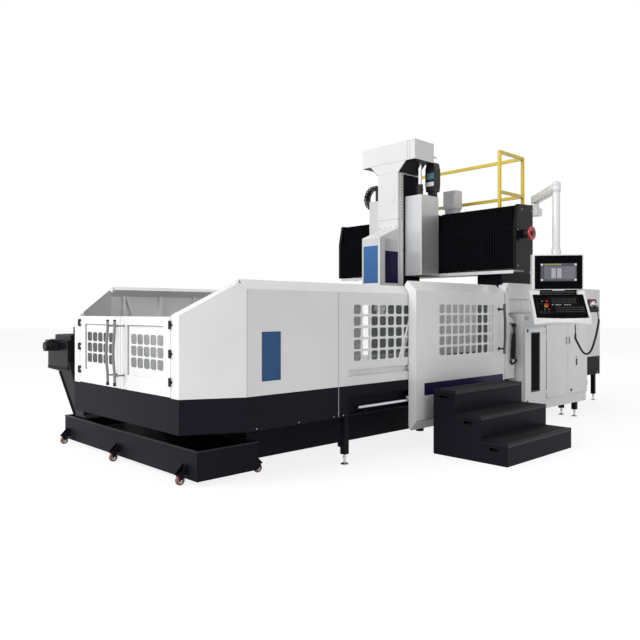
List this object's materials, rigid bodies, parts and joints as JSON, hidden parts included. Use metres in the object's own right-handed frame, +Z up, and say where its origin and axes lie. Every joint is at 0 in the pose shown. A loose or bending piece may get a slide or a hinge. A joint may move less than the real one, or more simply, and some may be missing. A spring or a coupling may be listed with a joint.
{
  "type": "gantry machining center",
  "caption": "Fixed-bridge gantry machining center with a vertical ram, sheet metal guarding with doors, chip conveyor, coolant tank, stairs, cabinets and a swivelling operator pendant.",
  "frame": {"origin": "underside of the middle levelling pad below the gantry, on the floor", "axes": "+X to the operator side with the sliding door, -Y to the front double door, +Z up"},
  "size_m": [5.1528, 9.174, 4.04],
  "materials": {
    "white": "semi-gloss off-white powder coat",
    "black": "satin black paint",
    "silver": "satin",
    "steel": "ground",
    "rubber": "matt coated fabric",
    "glass": "clear safety glass",
    "yellow": "satin safety yellow",
    "grey": "satin grey paint"
  },
  "bodies": {
    "machine": {"bed": "black", "work_table": "steel", "front_way_cover": "steel", "rear_way_cover": "steel", "front_skirt": "black", "side_skirt_left": "black", "side_skirt_right": "black", "rear_skirt": "black", "corner_panel_left": "white", "corner_panel_right": "white", "side_wall_left": "white", "side_wall_right": "white", "window_wall_right": "white", "window_glass_right": "glass", "end_trim_right": "white", "rear_walls": "white", "door_guide_rod": "steel", "column_left": "black", "column_right": "black", "beam": "black", "rail_cover": "silver", "beam_end_cap_left": "black", "beam_end_cap_right": "black", "beam_end_motor": "grey", "bellows_left": "rubber", "bellows_right": "rubber", "platform_railing": "yellow", "terminal_box": "white", "stairs": "black", "small_cabinet": "white", "main_cabinet": "white", "pendant_base": "white", "coolant_tank": "black", "chip_conveyor": "black", "column_cover": "white"},
    "front_door_left": {"front_door_left": "white", "front_door_glass_left": "glass"},
    "front_door_right": {"front_door_right": "white", "front_door_glass_right": "glass"},
    "side_door": {"side_door": "white", "side_door_glass": "glass"},
    "saddle": {"saddle": "black", "side_cover_left": "silver", "side_cover_right": "silver", "balance_cylinder_left": "grey", "balance_cylinder_right": "grey", "cable_chain": "black", "lubrication_unit": "black"},
    "ram": {"ram": "white", "ram_hood": "white", "head_cover": "white", "spindle": "steel"},
    "boom": {"pendant_boom": "white"},
    "pendant": {"pendant_monitor": "white", "pendant_keyboard": "white", "handwheel": "black", "handwheel_cable": "rubber"},
    "small_cabinet_door": {"small_cabinet_door": "white"},
    "main_cabinet_door_left": {"main_cabinet_door_left": "white"},
    "main_cabinet_door_right": {"main_cabinet_door_right": "white"}
  },
  "joints": [
    {"name": "front_door_left_hinge", "type": "hinge", "parent": "machine", "child": "front_door_left", "pos_m": [-0.9555, -5.522, 0.837], "axis": [0, 0, -1], "range_deg": [0, 110]},
    {"name": "front_door_right_hinge", "type": "hinge", "parent": "machine", "child": "front_door_right", "pos_m": [0.9555, -5.522, 0.837], "axis": [0, 0, 1], "range_deg": [0, 110]},
    {"name": "side_door_slide", "type": "slide", "parent": "machine", "child": "side_door", "axis": [0, -1, 0], "range_m": [0, 0.8]},
    {"name": "saddle_slide", "type": "slide", "parent": "machine", "child": "saddle", "axis": [1, 0, 0], "range_m": [-0.65, 0.75], "deforming": ["bellows_left", "bellows_right"]},
    {"name": "ram_slide", "type": "slide", "parent": "saddle", "child": "ram", "axis": [0, 0, 1], "range_m": [-0.2, 0.55]},
    {"name": "boom_swing", "type": "hinge", "parent": "machine", "child": "boom", "pos_m": [1.383, 0.255, 3.18], "axis": [0, 0, 1], "range_deg": [0, 60]},
    {"name": "pendant_swivel", "type": "hinge", "parent": "boom", "child": "pendant", "pos_m": [2.051, -0.437, 2.43], "axis": [0, 0, 1], "range_deg": [-45, 60]},
    {"name": "small_cabinet_door_hinge", "type": "hinge", "parent": "machine", "child": "small_cabinet_door", "pos_m": [1.606, 0.154, 0.32], "axis": [0, 0, 1], "range_deg": [0, 85]},
    {"name": "main_cabinet_door_left_hinge", "type": "hinge", "parent": "machine", "child": "main_cabinet_door_left", "pos_m": [1.606, 0.171, 0.37], "axis": [0, 0, -1], "range_deg": [0, 85]},
    {"name": "main_cabinet_door_right_hinge", "type": "hinge", "parent": "machine", "child": "main_cabinet_door_right", "pos_m": [1.606, 1.481, 0.37], "axis": [0, 0, 1], "range_deg": [0, 85]}
  ]
}
